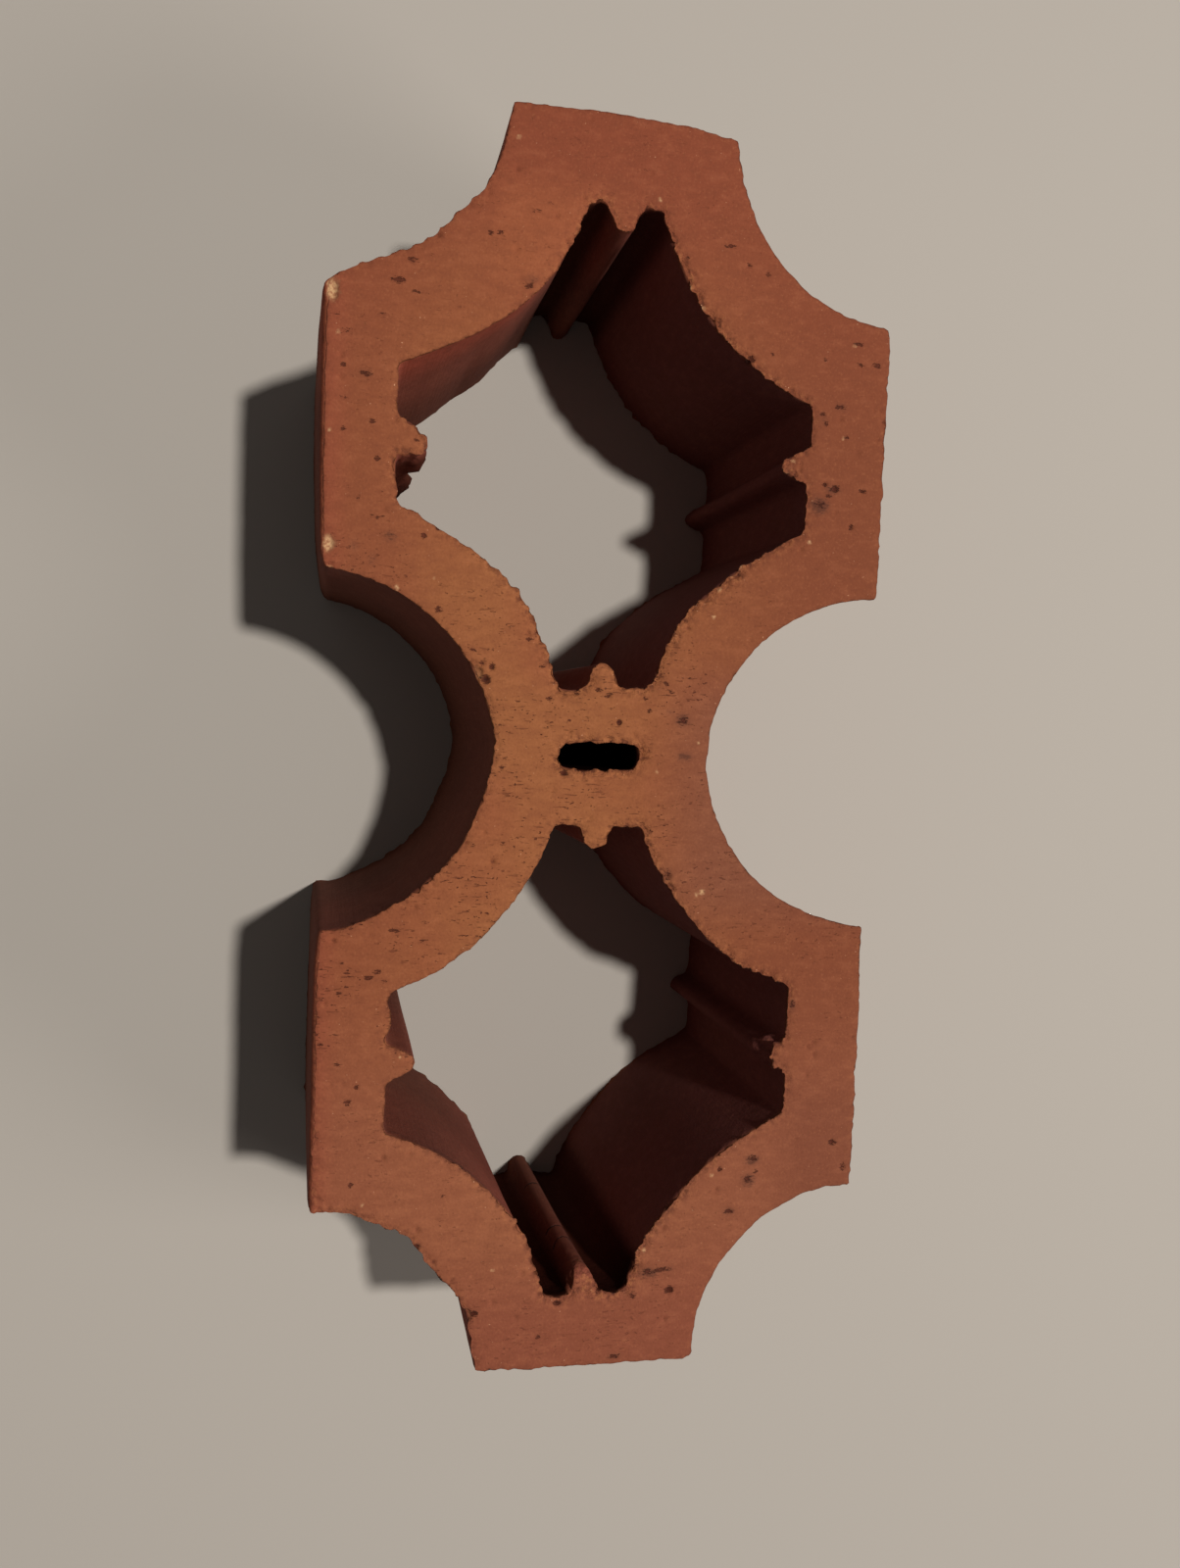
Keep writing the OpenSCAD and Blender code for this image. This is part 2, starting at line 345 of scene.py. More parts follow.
def cell_loop(turned):
    """An open cell's rim, counterclockwise, from its left corner at the web."""
    at_web = math.degrees(math.asin(HALF_WEB / SIDE_CELL_R))
    at_side = math.degrees(math.asin(SIDE_WALL / SIDE_CELL_R))
    at_far_side = math.degrees(math.asin(SIDE_WALL / CORNER_CELL_R))
    at_end = math.degrees(math.asin((END_WALL - CORE_SHIFT) / CORNER_CELL_R))
    low = arc((HALF_WIDTH, 0), SIDE_CELL_R, 180 - at_web, 90 + at_side)
    high = arc((HALF_WIDTH, HALF_LENGTH - CORE_SHIFT), CORNER_CELL_R, 270 - at_far_side, 180 + at_end)
    flip = (-1, 1)
    rib_y = (low[-1][1] + high[0][1]) / 2
    first = 4 if turned else 0
    loop = np.vstack([
        flat_with_rib(low[0] * flip, low[0], (0, HALF_WEB), (0, 1), first),
        plain(low),
        flat_with_rib(low[-1], high[0], (CELL_SIDE, rib_y), (-1, 0), first + 1),
        plain(high),
        flat_with_rib(high[-1], high[-1] * flip, (0, CELL_END), (0, -1), first + 2),
        plain((high * flip)[::-1]),
        flat_with_rib(high[0] * flip, low[-1] * flip, (-CELL_SIDE, rib_y), (1, 0), first + 3),
        plain((low * flip)[::-1]),
    ])
    if turned:
        loop[:, :2] *= -1
    return loop


def slot_loop():
    """The core slot's rim, counterclockwise."""
    x, y = SLOT[0] / 2, SLOT[1] / 2
    corners = ((x, -y), (x, y), (-x, y), (-x, -y))
    sides = [straight(corners[i], corners[(i + 1) % 4]) for i in range(4)]
    return plain(np.vstack(sides))


def lengths(points):
    """How far along a closed loop each point lies, and the whole length."""
    steps = np.hypot(*(np.roll(points[:, :2], -1, axis=0) - points[:, :2]).T)
    return np.concatenate([[0], np.cumsum(steps)[:-1]]), steps.sum()


def resample(loop, count):
    """Evenly spaced stations on a closed loop, each with the rib's number of the next point."""
    at, total = lengths(loop)
    wanted = np.arange(count) * total / count
    even = np.column_stack([np.interp(wanted, at, column, period=total) for column in loop.T])
    next_point = np.searchsorted(at, wanted).clip(0, len(loop) - 1)
    even[:, 3] = loop[next_point, 3]
    return even


def spread_along(loop, table):
    """Values for each point of a closed loop, from rows of x, y and the values there."""
    at, total = lengths(loop)
    table = np.array(table, float)
    place = np.array([at[np.argmin(np.hypot(*(loop[:, :2] - row[:2]).T))] for row in table])
    order = np.argsort(place)
    columns = [np.interp(at, place[order], column[order], period=total) for column in table.T[2:]]
    return np.column_stack(columns)


def soften(values, spread):
    """Rounds what runs along a closed loop with a bell curve, whose spread is given in points."""
    reach = max(1, int(3 * spread))
    offsets = np.arange(-reach, reach + 1)
    weights = np.exp(-((offsets / spread) ** 2) / 2)
    weights /= weights.sum()
    return sum(weight * np.roll(values, offset, axis=0) for weight, offset in zip(weights, offsets))


def finished_loop(name, drawn, nudges, ease):
    """A loop's stations, eased and nudged as this block's walls are, with their raggedness and lean."""
    drawn = drawn[np.concatenate([[True], np.hypot(*np.diff(drawn[:, :2], axis=0).T) > 1e-6])]
    even = resample(drawn, int(lengths(drawn)[1] / DRAWN_STEP))
    moved = spread_along(even, nudges)
    wear = np.column_stack([spread_along(even, RAGGED[name]), spread_along(even, LEAN[name])])
    even[:, :3] = soften(even[:, :3], ease / DRAWN_STEP)
    even[:, :2] += soften(moved, NUDGE_EASE / DRAWN_STEP)
    count = 2 * round(lengths(even)[1] / COLUMN_STEP / 2)
    return resample(np.column_stack([even, wear]), count)


def loop_normals(points):
    """Directions out of the clay, at each station."""
    ahead = np.roll(points[:, :2], -2, axis=0) - np.roll(points[:, :2], 2, axis=0)
    normals = np.column_stack([-ahead[:, 1], ahead[:, 0]])
    return normals / np.hypot(*normals.T)[:, None]


# Each loop's stations, as columns x, y, rise on a rib, rib's number, raggedness, lean along x and along y
LOOPS = {
    "outer": finished_loop("outer", outer_loop(), OUTER_NUDGES, OUTER_EASE),
    "upper": finished_loop("upper", cell_loop(False), UPPER_NUDGES, CELL_EASE),
    "lower": finished_loop("lower", cell_loop(True), LOWER_NUDGES, CELL_EASE),
    "slot": finished_loop("slot", slot_loop(), SLOT_NUDGES, CELL_EASE),
}


def near_cut(depth):
    """1 at the upper face, falling off down the wall, and a little less at the lower face."""
    return np.exp(-depth / TOP_REACH) + BASE_SHARE * np.exp(-(DEPTH - depth) / BASE_REACH)


def teeth(points):
    """Where a torn rim stands out, from about -1 to 1: sharp crests between rounded bites."""
    bites = 0.6 - 2.2 * np.abs(rough(points, "bites"))
    return 0.3 * rough(points, "waves") + 0.55 * bites + 0.35 * rough(points, "crumbs")


def ring(loop, depth):
    """One ring of a wall, at a depth under the upper face, as points in millimetres."""
    xy = loop[:, :2]
    points = np.column_stack([xy, np.full(len(loop), DEPTH - depth)])
    rib = loop[:, 3].astype(int)
    left = np.ones(len(loop))
    for name, table in RIB_LEFT.items():
        mine = rib == RIB_NAMES.index(name)
        wander = min(BREAK_SLOPE * depth, BREAK_MOST) * rough(points[mine], "break")
        left[mine] = np.interp(depth + wander, *np.transpose(table))
    xy = xy - RIB_OUT[rib] * (loop[:, 2] * (1 - left))[:, None]
    broad = WALL_UNEVEN * rough(points, "walls")
    crumble = RIM_TEETH * loop[:, 4] * near_cut(depth) * (teeth(points) - 0.1)
    torn = RIB_TEAR * np.where(np.abs(left - 1) > 0.03, rough(points, "tears"), 0)
    xy = xy + loop_normals(loop) * (broad + crumble + torn)[:, None]
    xy = xy + loop[:, 5:] * np.interp(depth, *np.transpose(LEAN_BY_DEPTH))
    on_left = smooth_step(-loop[:, 0], HALF_WIDTH - 3, HALF_WIDTH - 0.5)
    worn = LEFT_WORN * on_left * smooth_step(np.abs(loop[:, 1]), *LEFT_WORN_ENDS)
    xy[:, 0] -= worn * (1 - math.exp(-depth / LEFT_WORN_DEPTH))
    return np.column_stack([xy, points[:, 2]])


def make_kd(points):
    """A search tree over points in the plane."""
    tree = KDTree(len(points))
    for index, (x, y) in enumerate(points):
        tree.insert((x, y, 0), index)
    tree.balance()
    return tree


def inside(points, polygon):
    """Which points lie inside a closed polygon."""
    x, y = points[:, :1], points[:, 1:2]
    ax, ay = polygon[:, 0], polygon[:, 1]
    bx, by = np.roll(ax, -1), np.roll(ay, -1)
    crosses = ((ay > y) != (by > y)) & (x < (bx - ax) * (y - ay) / (by - ay + 1e-12) + ax)
    return crosses.sum(1) % 2 == 1


def in_clay(points, rims):
    """Which points lie inside the outline and outside the openings, worked out in batches."""
    batch = 4000
    keep = np.zeros(len(points), bool)
    for start in range(0, len(points), batch):
        part = points[start:start + batch]
        ok = inside(part, rims[0])
        for rim in rims[1:]:
            ok &= ~inside(part, rim)
        keep[start:start + batch] = ok
    return keep


def scattered(step):
    """Points of a triangular grid over the whole block, each moved a little."""
    random = np.random.RandomState(SEED)
    row_step, shift = 0.866 * step, 0.16
    xs = np.arange(-HALF_WIDTH - 2, HALF_WIDTH + 2, step)
    ys = np.arange(-HALF_LENGTH - 3, HALF_LENGTH + 3, row_step)
    grid_x, grid_y = np.meshgrid(xs, ys)
    grid_x[::2] += step / 2
    grid = np.column_stack([grid_x.ravel(), grid_y.ravel()])
    return grid + random.uniform(-shift, shift, grid.shape) * step


def nearest(tree, points):
    """The index of each point's nearest neighbour in a tree, and its distance."""
    found = [tree.find((x, y, 0))[1:] for x, y in points[:, :2]]
    return np.array([index for index, _ in found]), np.array([distance for _, distance in found])


def inner_points(rim_tree, spots, clearance):
    """A cut face's points between its rims: close ones near rims and spots, wide ones elsewhere."""
    if spots is None:
        grid = scattered(BASE_STEP)
        return grid[nearest(rim_tree, grid)[1] > clearance]
    spot_tree = make_kd(spots)
    chosen = []
    for step, close in ((RIM_STEP, True), (FACE_STEP, False)):
        grid = scattered(step)
        far = nearest(rim_tree, grid)[1]
        detailed = (far < RIM_REACH) | (nearest(spot_tree, grid)[1] < SPOT_REACH)
        chosen.append(grid[(detailed == close) & (far > clearance)])
    return np.vstack(chosen)


def cut_face(rims, clearance, spots=None):
    """Triangles over the clay between rims. Rim points come first."""
    rim_points = np.vstack(rims)
    grid = inner_points(make_kd(rim_points), spots, clearance)
    grid = grid[in_clay(grid, rims)]
    edges, first = [], 0
    for rim in rims:
        edges += [(first + i, first + (i + 1) % len(rim)) for i in range(len(rim))]
        first += len(rim)
    everything = np.vstack([rim_points, grid])
    made = delaunay_2d_cdt([Vector(point) for point in everything], edges, [], 0, 1e-7)
    if len(made[0]) != len(everything):
        raise RuntimeError("the face's triangulation added or merged points")
    order = np.array([ids[0] for ids in made[3]])
    triangles = order[np.array(made[2])]
    all_rim = (triangles < first).all(1)
    keep = ~all_rim
    keep[all_rim] = in_clay(everything[triangles[all_rim]].mean(1), rims)
    return everything, triangles[keep]


def block_mesh(spots):
    """The block's points and faces, how many points the upper face has and where the lower face's begin."""
    fine = {name: [ring(loop, depth) for depth in FINE_DEPTHS] for name, loop in LOOPS.items()}
    coarse = {name: [ring(loop, depth)[::2] for depth in COARSE_DEPTHS] for name, loop in LOOPS.items()}
    top, top_faces = cut_face([rings[0][:, :2] for rings in fine.values()], TOP_CLEARANCE, spots)
    base_rims = [rings[-1][:, :2] for rings in coarse.values()]
    base, base_faces = cut_face(base_rims, BASE_CLEARANCE)
    points = [np.column_stack([top, np.full(len(top), DEPTH)])]
    faces = [tuple(face) for face in top_faces.tolist()]
    next_free, first_of_rim = len(top), 0
    base_start = []
    for name, loop in LOOPS.items():
        count = len(loop)
        above = first_of_rim + np.arange(count)
        for level in fine[name][1:]:
            points.append(level)
            below = next_free + np.arange(count)
            faces += zip(above, np.roll(above, -1), np.roll(below, -1), below)
            above, next_free = below, next_free + count
        half = count // 2
        pairs = above.reshape(half, 2)
        for index, level in enumerate(coarse[name]):
            points.append(level)
            below = next_free + np.arange(half)
            if index == 0:
                faces += zip(pairs[:, 0], pairs[:, 1], np.roll(pairs[:, 0], -1), np.roll(below, -1), below)
            else:
                faces += zip(above, np.roll(above, -1), np.roll(below, -1), below)
            above, next_free = below, next_free + half
        base_start.append(above)
        first_of_rim += count
    base_inner = base[sum(map(len, base_rims)):]
    points.append(np.column_stack([base_inner, np.zeros(len(base_inner))]))
    lookup = np.concatenate([*base_start, next_free + np.arange(len(base_inner))])
    faces += [tuple(face[::-1]) for face in lookup[base_faces].tolist()]
    return np.vstack(points), faces, len(top), next_free


# Dark marks on the upper face, in millimetres: x, y, half length along x, half width along y, strength
MARKS = (
    (-42.3, 86.7, 1.5, 0.5, 1), (-38.5, 84.9, 2.4, 0.35, 0.55), (-47.8, 69.2, 1.3, 0.5, 0.9),
    (-53.3, 79.5, 1.5, 0.3, 0.5), (-51.6, 64.5, 1.2, 0.3, 0.55), (-51.8, 58.9, 0.5, 0.45, 0.8),
    (-46.5, 60.6, 0.7, 0.35, 0.8), (-38.3, 57.9, 0.6, 0.35, 0.9), (-34, 45.2, 1.5, 0.3, 0.55),
    (-33.8, 41.9, 0.5, 0.5, 0.9), (-18, 88.2, 1.1, 0.6, 0.75), (-17, 102.3, 1.5, 0.3, 0.55),
    (-23.8, 97.5, 0.5, 0.4, 0.85), (-25.5, 97.3, 0.5, 0.4, 0.8), (21.4, 100, 1.5, 0.3, 0.9),
    (25.5, 96.8, 0.5, 0.4, 0.9), (29.3, 95.6, 0.6, 0.4, 0.9), (12.9, 96.9, 0.4, 0.4, 0.7),
    (-45.4, 53.9, 0.5, 0.5, 0.9), (-44.9, 47.8, 0.9, 0.4, 0.6), (-48.7, 46.3, 0.5, 0.6, 0.6),
    (-45.2, 43.2, 2.6, 0.3, 0.55), (-36.4, 40.2, 0.5, 0.7, 0.95), (-33.3, 26.7, 0.8, 0.6, 0.9),
    (-39.8, 90.6, 1, 0.5, 0.95), (-45, 80.3, 1.4, 0.5, 0.5), (-51.6, 76.7, 2.2, 0.6, 0.5),
    (-52, 70.5, 0.5, 0.4, 0.85), (53.3, 80, 1.1, 0.35, 1), (49, 83.9, 1.3, 0.3, 0.9),
    (49.5, 79.8, 0.9, 0.3, 0.7), (42.3, 80.2, 0.5, 0.35, 0.85), (26.6, 78.9, 0.8, 0.6, 1),
    (31, 80.3, 0.4, 0.4, 0.8), (45.9, 71.2, 1.3, 0.5, 0.8), (42.2, 69.4, 0.6, 0.5, 0.85),
    (42.8, 67.6, 0.5, 0.5, 0.75), (47.4, 65.2, 0.5, 0.4, 0.9), (45.3, 54.9, 0.9, 0.6, 1.1),
    (43.2, 55.6, 0.5, 0.5, 0.9), (44, 53.6, 0.7, 0.5, 0.85), (42.4, 51.6, 1.2, 0.7, 0.8),
    (51.3, 54.9, 0.9, 0.4, 0.95), (49.2, 47.6, 0.5, 0.6, 0.9), (2.5, 6.6, 0.35, 0.4, 1.45),
    (-24, 13.9, 1, 0.7, 1.35), (-22.9, 16.3, 0.6, 0.7, 0.95), (-24.8, 16.9, 0.5, 0.4, 0.85),
    (-26.6, 19.4, 0.8, 0.4, 0.75), (-15.8, 21.9, 0.7, 0.4, 0.8), (-13.1, 16.9, 0.6, 0.25, 0.85),
    (-11.6, 10.7, 0.5, 0.4, 0.95), (-6.1, 12, 0.5, 0.4, 0.75), (-1.9, 12.8, 0.7, 0.5, 0.85),
    (0.2, 11.7, 0.8, 0.5, 0.85), (7.6, 11.6, 0.5, 0.4, 0.85), (8.5, 9.1, 0.4, 0.4, 0.85),
    (15.6, 7.2, 1.2, 0.7, 0.85), (11.7, 14.5, 0.6, 0.5, 0.75), (12.8, 12.9, 0.5, 0.4, 0.75),
    (-8.2, -3.6, 0.7, 0.6, 1.15), (-20.4, -2.8, 0.4, 0.5, 0.75), (-25.5, -18, 0.5, 0.8, 0.65),
    (13.5, -23.3, 0.9, 1.3, 0.7), (-39.8, -34.3, 1.4, 0.3, 0.95), (-34.5, -36.4, 0.9, 0.3, 0.75),
    (-34.3, -32.9, 0.8, 0.25, 0.65), (-43, -42.3, 0.9, 0.3, 0.95), (-44.6, -43.4, 1.1, 0.35, 0.95),
    (-41.7, -44, 0.8, 0.3, 0.75), (-50, -46.3, 0.6, 0.3, 0.75), (-49.8, -40.6, 0.6, 0.35, 0.75),
    (-53.2, -56, 0.7, 0.35, 0.75), (-50, -60, 0.7, 0.4, 0.65), (-46.3, -64.4, 0.45, 0.4, 0.95),
    (-48, -67.4, 0.7, 0.6, 0.95), (-52.5, -45.5, 1.2, 0.25, 0.5), (-29.5, -86.3, 0.8, 0.4, 0.6),
    (-47, -83.3, 0.4, 0.5, 0.9), (-34.1, -96.3, 0.8, 0.7, 0.95), (51, -78.9, 1, 0.5, 1.05),
    (53.6, -84.2, 0.6, 0.9, 0.85), (33.8, -81.6, 0.9, 0.6, 0.85), (32.7, -86, 1, 0.9, 0.8),
    (34.5, -84.4, 0.6, 0.4, 0.75), (26.8, -83.6, 0.4, 0.5, 1), (41, -49.6, 0.6, 1.2, 0.7),
    (29, -92.4, 1.1, 0.5, 0.9), (-22.7, -110.3, 0.7, 0.6, 1.1), (17, -108.1, 0.9, 0.8, 1.2),
    (15.5, -103.7, 2.6, 0.35, 1), (12.4, -104.2, 1.1, 0.7, 0.9), (9.5, -108.6, 0.8, 0.8, 0.65),
    (-6, -109.2, 0.9, 0.6, 0.95), (-9.7, -115.8, 0.45, 0.4, 0.9), (6, -121, 1.4, 0.4, 0.95),
    (-14.4, 103.9, 0.8, 0.25, 0.6),
)

# Brown smudges on the upper face, in the same terms
SMUDGES = (
    (-42.7, 39.8, 1.6, 1.2, 0.7), (-45.9, 35.2, 1, 1.4, 0.5), (-49.2, 37.6, 1, 1.3, 0.5),
    (42.2, 51.3, 2.4, 2, 1.1), (44.8, 54.6, 2, 1.2, 0.8), (42.3, 68.5, 1.2, 1.4, 0.4),
    (45.9, 71.2, 1.8, 0.9, 0.5), (33.7, -81.9, 1.9, 1.3, 0.9), (32.9, -86.1, 1.8, 1.8, 0.9),
    (12.6, -104.2, 2.3, 1.2, 1), (16.5, -103.6, 2.2, 0.6, 0.6), (15.8, -91.2, 1.6, 0.9, 0.7),
    (29, -92.3, 1.6, 0.9, 0.8), (15.4, 7.4, 1.9, 1.5, 0.9), (12.6, 9, 1, 0.7, 0.5), (16.1, 0.2, 2.3, 1, 0.8),
    (41, -50, 0.8, 1.7, 0.7), (-17.3, 89.6, 1.8, 0.8, 0.6), (-47.9, 69.3, 1.8, 0.9, 0.5),
    (13.5, -23.4, 1.2, 1.8, 0.6), (20, -8, 0.8, 1.6, 0.4), (-34, -96.3, 1.3, 1, 0.5),
    (6, -121, 1.9, 0.6, 0.7), (35.5, 58, 1.4, 1.6, 0.5),
)

# Pale grains of grog that show in the upper face: x, y, radius
GRAINS = (
    (-20.8, 115.3, 0.5), (20.7, -26.8, 0.7), (19.6, -27.2, 0.4), (11.4, -99.5, 0.5), (48.2, 83.5, 0.4),
    (13.3, 91.4, 0.6), (16.4, 87.6, 0.5), (-41.3, 30.3, 0.5), (-34.3, 32.6, 0.35), (-53.6, 33.2, 0.5),
    (46.6, 65, 0.35), (25, -84.7, 0.4), (18.9, 3, 0.35), (24.5, 36.6, 0.5), (26, 38.2, 0.5), (22, 33.4, 0.4),
    (34.9, 57, 0.5), (36.3, 59.8, 0.4), (-54.2, 58.5, 0.3), (-53, 76.3, 0.4), (40.4, 44, 0.4),
    (-38.4, -58.8, 0.3), (21, 28, 0.4), (10.4, -2.9, 0.35), (-44.8, -87.4, 0.4), (-19.2, -101.7, 0.35),
    (6.9, 107.2, 0.4),
)

# Single pits in the upper face: x, y, radius, depth
PITS = (
    (2.5, 6.6, 0.45, 1), (-11.6, 10.7, 0.4, 0.5), (-8.2, -3.6, 0.7, 0.9), (-24, 13.9, 0.8, 0.9),
    (-22.9, 16.3, 0.6, 0.6), (-24.8, 16.9, 0.5, 0.5), (51.3, 54.9, 0.5, 0.5), (49.2, 47.6, 0.6, 0.5),
    (43.2, 55.6, 0.5, 0.6), (45.3, 54.9, 0.7, 0.7), (41.8, 52, 0.5, 0.4), (29.3, 95.6, 0.5, 0.5),
    (25.5, 96.8, 0.4, 0.4), (-22.7, -110.3, 0.6, 0.9), (17, -108.1, 0.7, 0.9), (29, -92.4, 0.6, 0.4),
    (33.8, -81.6, 0.5, 0.4), (51, -78.9, 0.7, 0.6), (53.6, -84.2, 0.6, 0.6), (26.8, -83.6, 0.45, 0.6),
    (-33.8, 41.9, 0.45, 0.5), (-46.3, -64.4, 0.4, 0.5), (-48, -67.4, 0.5, 0.4), (-34.1, -96.3, 0.6, 0.5),
    (26.6, 78.9, 0.7, 0.7), (42.2, 69.4, 0.5, 0.4), (-6, -109.2, 0.6, 0.6), (8.2, -108.4, 0.6, 0.5),
    (-1.9, 12.8, 0.5, 0.5), (0.2, 11.7, 0.6, 0.4), (-15.8, 21.9, 0.5, 0.4), (23.5, 34.8, 0.6, 0.6),
    (26.7, 37.6, 0.6, 0.5), (36.8, 57.2, 0.5, 0.6), (35.2, 59, 0.6, 0.5), (37.8, 59.4, 0.4, 0.5),
)

# Chips off the rims, whose fresh break is pale: x, y, reach along x, reach along y, depth, how pale
CHIPS = (
    (-54.5, 84, 1.6, 2.5, 0.7, 1), (-54.1, 37.8, 1.2, 1.8, 0.5, 1), (56.6, 65.5, 1, 1.6, 0.5, 0.1),
    (56.4, -64.5, 1.1, 1.5, 0.6, 0.1), (-24.4, -110.6, 1.4, 1.8, 0.9, 0.1), (-47, -89.8, 2, 1, 0.6, 0.1),
    (-26, 15, 1.6, 1.6, 0.8, 0.2),
)


def dents(points, places):
    """How deep each point of the upper face lies in the given pits."""
    tree = make_kd(points[:, :2])
    hollow = np.zeros(len(points))
    steepness = 1.6
    for x, y, radius, depth in places:
        for _, index, distance in tree.find_range((x, y, 0), radius * steepness):
            shape = math.exp(-((distance / radius) ** 2) * steepness)
            hollow[index] = max(hollow[index], depth * shape)
    return hollow


def random_pits():
    """Seeded pits over the whole upper face, most of them small."""
    random = np.random.RandomState(SEED + 3)
    places = random.uniform((-HALF_WIDTH, -HALF_LENGTH), (HALF_WIDTH, HALF_LENGTH), (PIT_COUNT, 2))
    radius = 0.28 + 0.4 * random.uniform(0, 1, PIT_COUNT) ** 3
    return np.column_stack([places, radius, radius * random.uniform(0.5, 1.0, PIT_COUNT)])


def rim_pits():
    """Seeded pits along the torn rims, more where a rim is more ragged."""
    random = np.random.RandomState(SEED + 5)
    rows = []
    for loop in LOOPS.values():
        chosen = random.uniform(0, 1, len(loop)) < RIM_PIT_SHARE * (loop[:, 4] / RAGGED_MOST) ** 2
        inward = random.uniform(0.2, 1, len(loop)) ** 2 * 3.0
        places = (loop[:, :2] - loop_normals(loop) * inward[:, None])[chosen]
        radius = random.uniform(0.28, 0.7, len(places))
        rows.append(np.column_stack([places, radius, radius * random.uniform(0.5, 1.1, len(places))]))
    return np.vstack(rows)


def weather_top(points, top_count, pits):
    """Wears the upper face, and returns how hollow, how torn and how near a rim each of its points is."""
    top = points[:top_count]
    flat = top * (1, 1, 0)
    rim = np.vstack([ring(loop, 0)[:, :2] for loop in LOOPS.values()])
    index, far = nearest(make_kd(rim), top)
    torn_share = {"outer": 0.5}
    ragged = np.concatenate([loop[:, 4] * torn_share.get(name, 1) for name, loop in LOOPS.items()])[index]
    hollow = dents(top, pits)
    worn = np.exp(-far / 0.55) * (0.12 + 0.1 * rough(flat, "wear"))
    bitten = ragged * np.exp(-far / 0.9) * np.clip(0.2 - teeth(flat + (0, 0, DEPTH)), 0, 1)
    drag = 0.04 * rough(flat, "drag")
    uneven = 0.08 * rough(flat, "face")
    top[:, 2] -= np.maximum(hollow, 0.9 * bitten) + worn + drag + uneven + 0.1
    torn = ragged / RAGGED_MOST * np.exp(-np.maximum(far - 0.4, 0) / 0.9)
    return hollow, torn, np.exp(-far / 0.22)


def chip_away(points):
    """Breaks chips off the upper rim and returns how pale each point is."""
    pale = np.zeros(len(points))
    for x, y, reach_x, reach_y, depth, how_pale in CHIPS:
        away = np.linalg.norm((points - (x, y, DEPTH)) / (reach_x, reach_y, 1.6 * depth), axis=1)
        share = smooth_step(1.15 - away + 0.25 * rough(points, "chips"), 0, 0.8)
        points[:, 2] -= np.where(points[:, 2] > DEPTH - 2, depth * share, 0)
        centre = np.array((x - math.copysign(8, x), y))
        inward = centre - points[:, :2]
        inward /= np.hypot(*inward.T)[:, None]
        points[:, :2] += inward * (0.5 * depth * share)[:, None]
        pale = np.maximum(pale, how_pale * share)
    return pale


def marked(points, table):
    """How strongly each point is marked, fading outwards from the middle of a mark."""
    most = np.zeros(len(points))
    fringe = 0.25
    for x, y, half_x, half_y, strength in table:
        away = np.hypot((points[:, 0] - x) / (half_x + fringe), (points[:, 1] - y) / (half_y + fringe))
        most = np.maximum(most, strength * np.clip(1.25 - away, 0, 1))
    return np.where(points[:, 2] > DEPTH - 2.5, most, 0)


def painted_shade_share(points):
    """How much painted shade each point gets: black in the deep slot, dark in the narrow gaps beside the end
    ribs and on the unlit side under the torn rib.
    """
    x, y, z = points.T
    depth = DEPTH - z
    slot_x = -1.4
    in_slot = (np.abs(x - slot_x) < SLOT[0] / 2 + 0.5) & (np.abs(y) < SLOT[1] / 2 + 1.2)
    slot = 0.95 * in_slot * smooth_step(depth, 0.6, 3.0)
    in_end = (np.abs(x) < 14) & (np.abs(y) < CELL_END + 4)
    in_end = in_end * smooth_step(np.abs(y), CELL_END - 9, CELL_END - 4) * smooth_step(depth, 0.3, 1.2)
    rib_x = np.where(y < 0, -0.6 - 0.037 * depth, 0.3)
    beside_rib = smooth_step(np.abs(x - rib_x), 2.2, 3.8)
    end = in_end * beside_rib * np.where(y < 0, 0.6 + 0.35 * np.exp(-depth / 20), 0.6)
    by_torn_rib = (x > -43) & (x < -32) & (y > 53) & (y < 60.5)
    torn_rib = 0.6 * by_torn_rib * smooth_step(depth, 4, 12)
    return np.maximum(np.maximum(slot, end), torn_rib)


def in_cells(points):
    """1 on the walls of the two cells and 0 on the block's outside."""
    x, y = np.abs(points[:, 0]), np.abs(points[:, 1])
    from_notch = np.minimum(np.hypot(x - HALF_WIDTH, y), np.hypot(x - HALF_WIDTH, y - HALF_LENGTH))
    return 1.0 * ((x < HALF_WIDTH - 4) & (y < HALF_LENGTH - 6) & (from_notch > SIDE_NOTCH_R + 7))


def crumbly(points):
    """How crumbly each point of a wall is: the tops of the damaged ribs."""
    most = np.zeros(len(points))
    for x, y in CRUMBLY_RIBS:
        away = np.hypot(points[:, 0] - x, points[:, 1] - y)
        most = np.maximum(most, smooth_step(4.5 - away, 0, 2) * np.exp((points[:, 2] - DEPTH) / 5))
    return most


def srgb(red, green, blue):
    """A linear colour from screen values of 0 to 255."""
    parts = [value / 255 for value in (red, green, blue)]
    return (*(p / 12.92 if p <= 0.04045 else ((p + 0.055) / 1.055) ** 2.4 for p in parts), 1)


